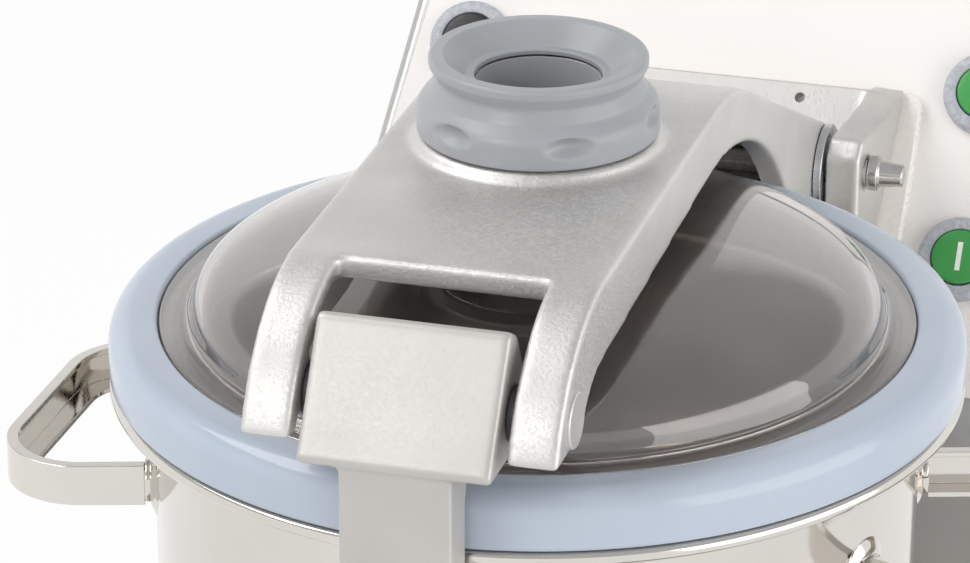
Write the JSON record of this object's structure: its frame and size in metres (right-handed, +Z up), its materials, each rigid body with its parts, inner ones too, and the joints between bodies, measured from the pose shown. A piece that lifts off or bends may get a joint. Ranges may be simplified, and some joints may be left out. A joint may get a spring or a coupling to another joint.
{
  "type": "vertical cutter mixer",
  "caption": "Table-top vertical cutter mixer with a steel bowl, a clear domed lid on a hinged bridge arm, a front locking lever and a leaning control face.",
  "frame": {"origin": "centre of the bounding box at the underside of the feet", "axes": "+Z up, -Y towards the user at the front, +X to the user's right; the bowl axis is vertical at Y = -102.5 mm"},
  "size_m": [0.3596, 0.545, 0.5853],
  "materials": {
    "housing_steel": "fine satin",
    "sheet_steel": "plain sheet",
    "fasteners": "turned and polished",
    "panel_film": "white film with a grey edge",
    "cream_plate": "cream enamel",
    "cast_aluminium": "bead blasted",
    "lever_casting": "satin",
    "polished_steel": "polished",
    "turned_steel": "turned",
    "blade_steel": "ground",
    "black_rubber": "matt",
    "seal_silicone": "glossy moulded",
    "smoky_polycarbonate": "clear smoky",
    "grey_plastic": "fine moulded grain",
    "ring_plastic": "light grey, moulded",
    "black_cap": "glossy",
    "green_cap": "glossy",
    "red_cap": "glossy",
    "bronze": "turned",
    "motor_iron": "painted laminations",
    "motor_alloy": "as cast",
    "electrical_plastic": "moulded",
    "magnet": "sintered"
  },
  "bodies": {
    "base": {"base_housing": "housing_steel", "bottom_plate": "sheet_steel", "feet": "black_rubber", "foot_screws": "fasteners", "column_housing": "housing_steel", "control_panel": "panel_film", "backing_plate": "cream_plate", "hinge_bracket": "cast_aluminium", "bracket_screws": "fasteners", "hinge_pin": "turned_steel", "hinge_washers": "fasteners", "button_rings": "ring_plastic", "contact_blocks": "electrical_plastic", "rear_cover": "sheet_steel", "cover_screws": "fasteners", "seat_ring": "turned_steel", "seat_screws": "fasteners", "bowl_stop": "turned_steel", "motor_stator": "motor_iron", "upper_shield": "motor_alloy", "lower_shield": "motor_alloy", "upper_bearing": "turned_steel", "lower_bearing": "turned_steel", "motor_studs": "fasteners", "shaft_seal": "black_rubber", "chassis_plate": "sheet_steel", "contactors": "electrical_plastic", "terminal_block": "electrical_plastic", "cable_gland": "electrical_plastic", "interlock_switch": "ring_plastic"},
    "rotor": {"drive_shaft": "turned_steel", "rotor_core": "motor_iron", "cooling_fan": "electrical_plastic", "blade_hub": "grey_plastic", "lower_blade": "blade_steel", "upper_blade": "blade_steel", "blade_cap": "grey_plastic"},
    "bowl": {"bowl_shell": "polished_steel", "bowl_chimney": "polished_steel", "bowl_foot_ring": "polished_steel", "left_handle": "polished_steel", "right_handle": "polished_steel", "handle_plates": "polished_steel"},
    "lid_arm": {"arm_casting": "cast_aluminium", "lid_dome": "smoky_polycarbonate", "lid_seal": "seal_silicone", "hinge_bushes": "bronze", "lever_pin": "turned_steel", "lever_washers": "fasteners", "interlock_magnet": "magnet"},
    "lid_nut": {"lid_nut": "grey_plastic"},
    "lock_lever": {"lock_lever": "lever_casting"},
    "pulse_button": {"pulse_button": "black_cap"},
    "fast_button": {"fast_button": "green_cap"},
    "slow_button": {"slow_button": "green_cap"},
    "stop_button": {"stop_button": "red_cap"}
  },
  "joints": [
    {"name": "rotor_spin", "type": "hinge", "parent": "base", "child": "rotor", "pos_m": [0, -0.1025, 0.3], "axis": [0, 0, 1], "continuous": true},
    {"name": "bowl_bayonet", "type": "hinge", "parent": "base", "child": "bowl", "pos_m": [0, -0.1025, 0.3], "axis": [0, 0, 1], "range_deg": [0, 25]},
    {"name": "lid_hinge", "type": "hinge", "parent": "base", "child": "lid_arm", "pos_m": [0, 0.1095, 0.467], "axis": [-1, 0, 0], "range_deg": [0, 80]},
    {"name": "nut_thread", "type": "hinge", "parent": "lid_arm", "child": "lid_nut", "pos_m": [0, -0.1025, 0.56], "axis": [0, 0, 1], "range_deg": [0, 90]},
    {"name": "lever_pivot", "type": "hinge", "parent": "lid_arm", "child": "lock_lever", "pos_m": [0, -0.24344, 0.52308], "axis": [-1, 0, 0], "range_deg": [0, 60]},
    {"name": "pulse_button_travel", "type": "slide", "parent": "base", "child": "pulse_button", "axis": [0, 0.788, -0.6157], "range_m": [0, 0.003], "stiffness_N_per_m": 400, "springref_m": -0.001},
    {"name": "fast_button_travel", "type": "slide", "parent": "base", "child": "fast_button", "axis": [0, 0.788, -0.6157], "range_m": [0, 0.003], "stiffness_N_per_m": 400, "springref_m": -0.001},
    {"name": "slow_button_travel", "type": "slide", "parent": "base", "child": "slow_button", "axis": [0, 0.788, -0.6157], "range_m": [0, 0.003], "stiffness_N_per_m": 400, "springref_m": -0.001},
    {"name": "stop_button_travel", "type": "slide", "parent": "base", "child": "stop_button", "axis": [0, 0.788, -0.6157], "range_m": [0, 0.003], "stiffness_N_per_m": 400, "springref_m": -0.001}
  ]
}
